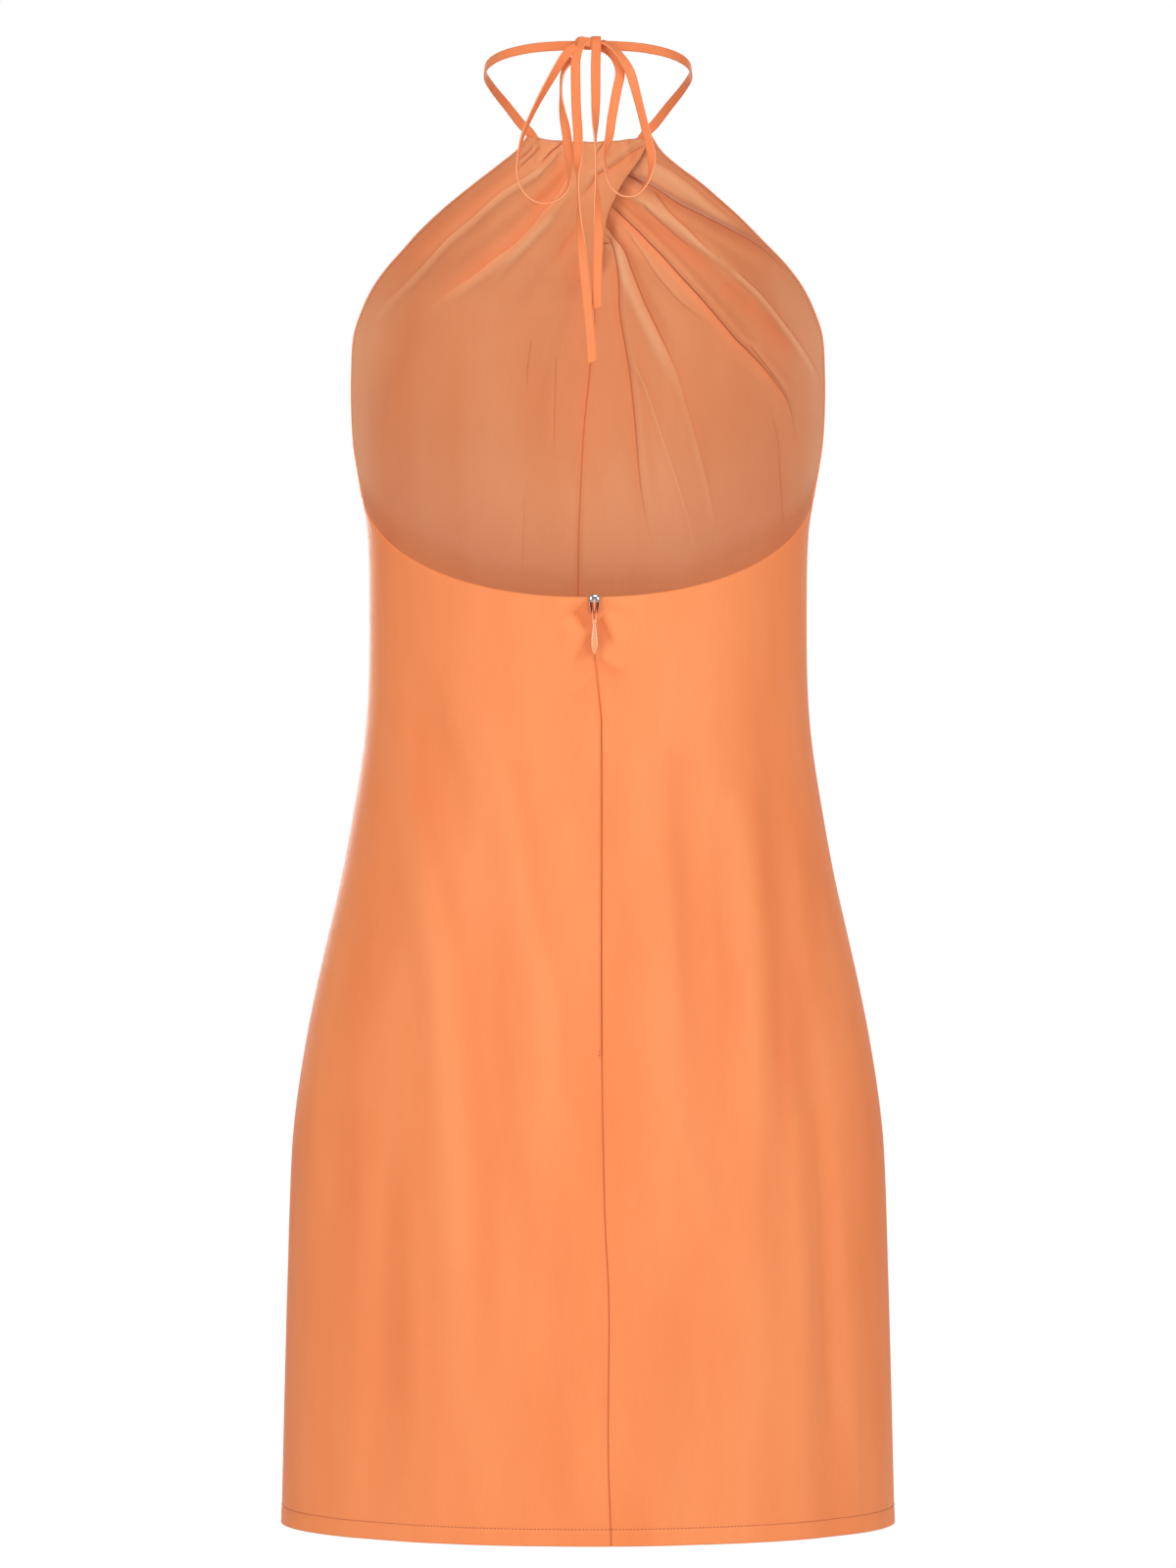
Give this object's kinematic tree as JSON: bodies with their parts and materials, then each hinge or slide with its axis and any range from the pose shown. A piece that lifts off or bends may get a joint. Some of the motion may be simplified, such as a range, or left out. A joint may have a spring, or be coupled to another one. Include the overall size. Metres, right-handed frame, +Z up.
{
  "type": "halter mini dress",
  "caption": "Hollow halter mini dress as worn: crossed and gathered front, open scooped back, zip at the centre back, and a neck strap tied in a bow at the nape.",
  "frame": {"origin": "the nape of the wearer's neck, where the tied neck strap rests", "axes": "+Z up, -Y towards the front of the dress, +Y towards its open back, +X towards the wearer's left"},
  "size_m": [0.3752, 0.2708, 0.8978],
  "materials": {
    "dress_cloth": "smooth woven cloth with a soft, pale sheen",
    "strap_cloth": "the same cloth, turned and pressed flat",
    "zip_tape": "matte woven tape",
    "zip_metal": "bright metal with orange enamel on its lower half",
    "pull_enamel": "glossy orange enamel"
  },
  "bodies": {
    "dress": {"front_left": "dress_cloth", "front_right": "dress_cloth", "back_left": "dress_cloth", "back_right": "dress_cloth", "neck_strap_left": "strap_cloth", "neck_strap_right": "strap_cloth", "knot": "strap_cloth", "bow_loop_left": "strap_cloth", "bow_loop_right": "strap_cloth", "tie_tail_left": "strap_cloth", "tie_tail_right": "strap_cloth", "zip_tape_left": "zip_tape", "zip_tape_right": "zip_tape", "zip_slider": "zip_metal"},
    "pull": {"zip_pull": "pull_enamel"}
  },
  "joints": [
    {"name": "pull_hinge", "type": "hinge", "parent": "dress", "child": "pull", "pos_m": [-0.00382, 0.03723, -0.33875], "axis": [1, 0, 0], "range_deg": [0, 165]}
  ]
}
